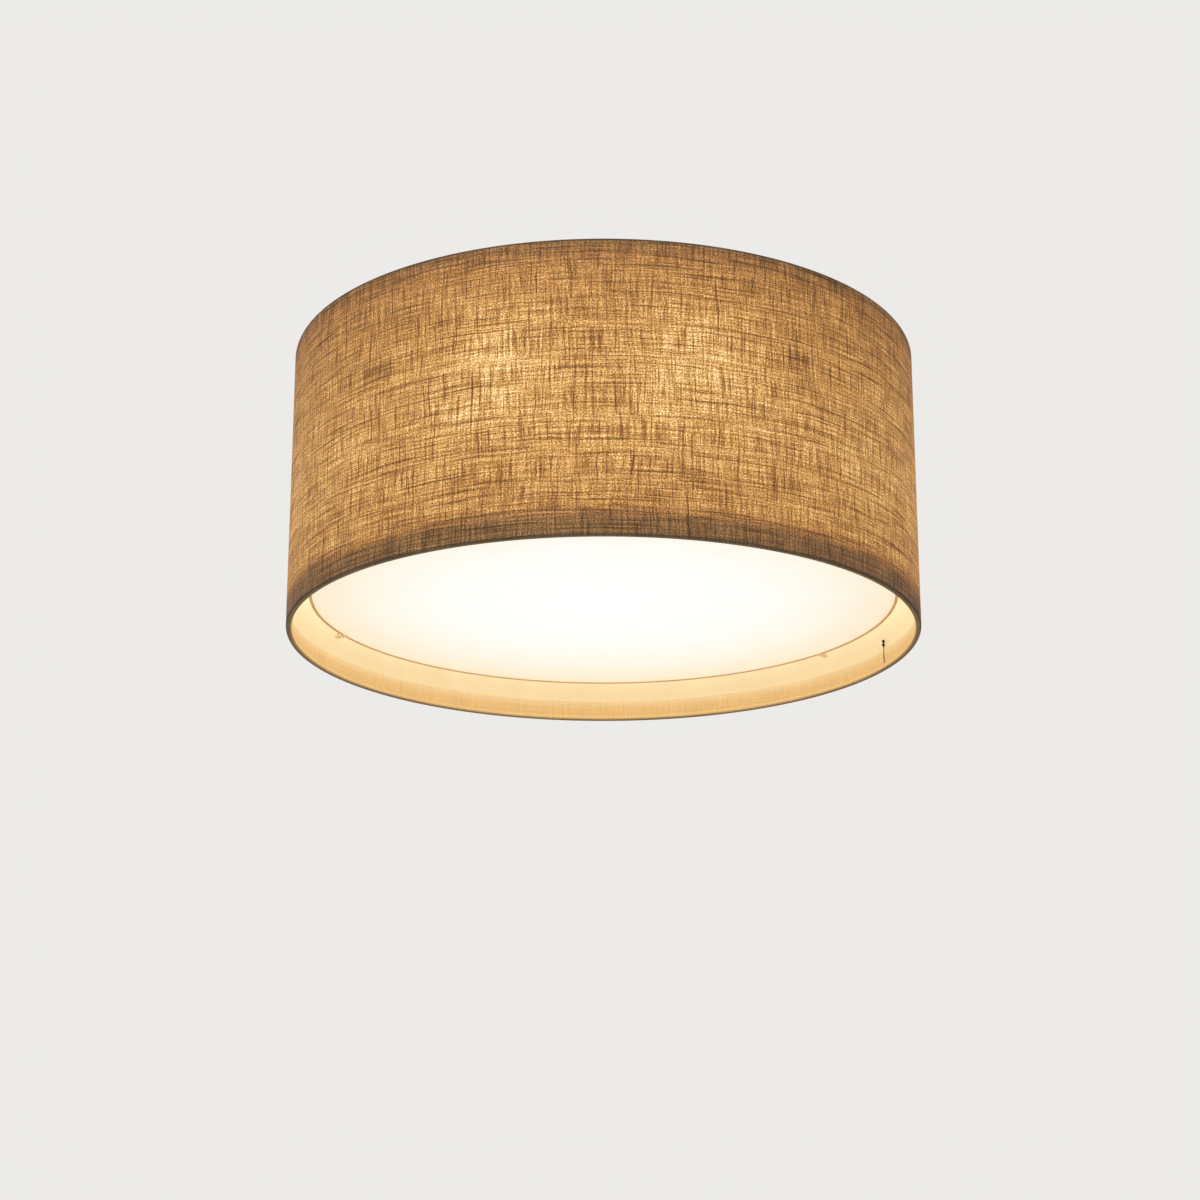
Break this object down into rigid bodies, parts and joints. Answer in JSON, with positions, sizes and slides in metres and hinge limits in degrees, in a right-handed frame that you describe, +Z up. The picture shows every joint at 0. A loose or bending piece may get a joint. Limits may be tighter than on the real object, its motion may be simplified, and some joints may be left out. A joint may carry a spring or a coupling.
{
  "type": "flush mount ceiling light",
  "caption": "Flush mount ceiling light: linen drum shade with rolled rims over an opal diffuser disc, lamps on a bracket under a ceiling pan, and a steel carrier frame.",
  "frame": {"origin": "centre of the carrier frame's upper face, on the ceiling plane", "axes": "+Z up into the ceiling; +X along the two slotted ceiling screw holes; the pictured side faces -Y"},
  "size_m": [0.4999, 0.5, 0.235],
  "materials": {
    "linen": "slubby woven linen, stiffened",
    "linen_hem": "folded linen hem",
    "liner": "smooth white laminate",
    "opal": "opal sheet, lit from behind",
    "binding": "slim bound edge",
    "white_steel": "white powder coat",
    "zinc": "bright zinc plate",
    "ring_wire": "drawn steel wire",
    "nickel": "nickel plate, knurled",
    "brass": "bare brass",
    "holder_white": "moulded white shell",
    "terminal_white": "natural polyamide",
    "lamp_white": "white lamp collar",
    "lamp_opal": "opal globe, lit",
    "lead_brown": "brown lead insulation",
    "lead_blue": "blue lead insulation",
    "grommet_black": "soft black bush"
  },
  "bodies": {
    "ceiling_base": {"carrier_frame": "white_steel", "arm_bushes": "zinc", "ceiling_pan": "white_steel", "pan_studs": "zinc", "cap_nuts": "nickel", "terminal_block": "terminal_white", "terminal_screws": "zinc", "earth_screw": "brass", "cable_grommet": "grommet_black", "live_leads": "lead_brown", "neutral_leads": "lead_blue", "centre_tube": "zinc", "tube_nuts": "zinc", "lampholder_bracket": "white_steel", "holder_nipples": "zinc", "nipple_nuts": "zinc", "lampholder_1": "holder_white", "lampholder_2": "holder_white", "lampholder_3": "holder_white", "holder_sleeve_1": "brass", "holder_sleeve_2": "brass", "holder_sleeve_3": "brass", "holder_contact_1": "brass", "holder_contact_2": "brass", "holder_contact_3": "brass"},
    "shade": {"top_ring": "ring_wire", "bottom_ring": "ring_wire", "top_hem": "linen_hem", "bottom_hem": "linen_hem", "shade_cover": "linen", "shade_liner": "liner", "seam_lap": "linen"},
    "diffuser": {"diffuser_panel": "opal", "diffuser_binding": "binding"},
    "lamp_1": {"lamp_cap_1": "nickel", "lamp_collar_1": "lamp_white", "lamp_globe_1": "lamp_opal"},
    "lamp_2": {"lamp_cap_2": "nickel", "lamp_collar_2": "lamp_white", "lamp_globe_2": "lamp_opal"},
    "lamp_3": {"lamp_cap_3": "nickel", "lamp_collar_3": "lamp_white", "lamp_globe_3": "lamp_opal"},
    "thumbscrew_1": {"thumbscrew_1": "nickel"},
    "thumbscrew_2": {"thumbscrew_2": "nickel"},
    "thumbscrew_3": {"thumbscrew_3": "nickel"},
    "hanger_1": {"diffuser_hanger_1": "ring_wire", "hanger_foot_1": "ring_wire"},
    "hanger_2": {"diffuser_hanger_2": "ring_wire", "hanger_foot_2": "ring_wire"},
    "hanger_3": {"diffuser_hanger_3": "ring_wire", "hanger_foot_3": "ring_wire"}
  },
  "joints": [
    {"name": "shade_drop", "type": "slide", "parent": "ceiling_base", "child": "shade", "axis": [0, 0, -1], "range_m": [0, 0.25]},
    {"name": "diffuser_lift", "type": "slide", "parent": "shade", "child": "diffuser", "axis": [0, 0, 1], "range_m": [0, 0.03]},
    {"name": "lamp_unscrew_1", "type": "slide", "parent": "ceiling_base", "child": "lamp_1", "axis": [0.1045, 0.9945, 0], "range_m": [0, 0.028]},
    {"name": "lamp_unscrew_2", "type": "slide", "parent": "ceiling_base", "child": "lamp_2", "axis": [-0.9135, -0.4067, 0], "range_m": [0, 0.028]},
    {"name": "lamp_unscrew_3", "type": "slide", "parent": "ceiling_base", "child": "lamp_3", "axis": [0.809, -0.5878, 0], "range_m": [0, 0.028]},
    {"name": "thumbscrew_turn_1", "type": "hinge", "parent": "shade", "child": "thumbscrew_1", "pos_m": [-0.03108, 0.22991, -0.0073], "axis": [0, 0, 1], "continuous": true},
    {"name": "thumbscrew_turn_2", "type": "hinge", "parent": "shade", "child": "thumbscrew_2", "pos_m": [-0.18356, -0.14187, -0.0073], "axis": [0, 0, 1], "continuous": true},
    {"name": "thumbscrew_turn_3", "type": "hinge", "parent": "shade", "child": "thumbscrew_3", "pos_m": [0.21465, -0.08803, -0.0073], "axis": [0, 0, 1], "continuous": true},
    {"name": "hanger_spread_1", "type": "hinge", "parent": "shade", "child": "hanger_1", "pos_m": [0.18752, 0.14493, -0.0073], "axis": [0.6115, -0.7912, 0], "range_deg": [0, 2], "stiffness_Nm_per_rad": 2.5},
    {"name": "hanger_spread_2", "type": "hinge", "parent": "shade", "child": "hanger_2", "pos_m": [-0.21927, 0.08993, -0.0073], "axis": [0.3795, 0.9252, 0], "range_deg": [0, 2], "stiffness_Nm_per_rad": 2.5},
    {"name": "hanger_spread_3", "type": "hinge", "parent": "shade", "child": "hanger_3", "pos_m": [0.03175, -0.23486, -0.0073], "axis": [-0.991, -0.134, 0], "range_deg": [0, 2], "stiffness_Nm_per_rad": 2.5}
  ]
}
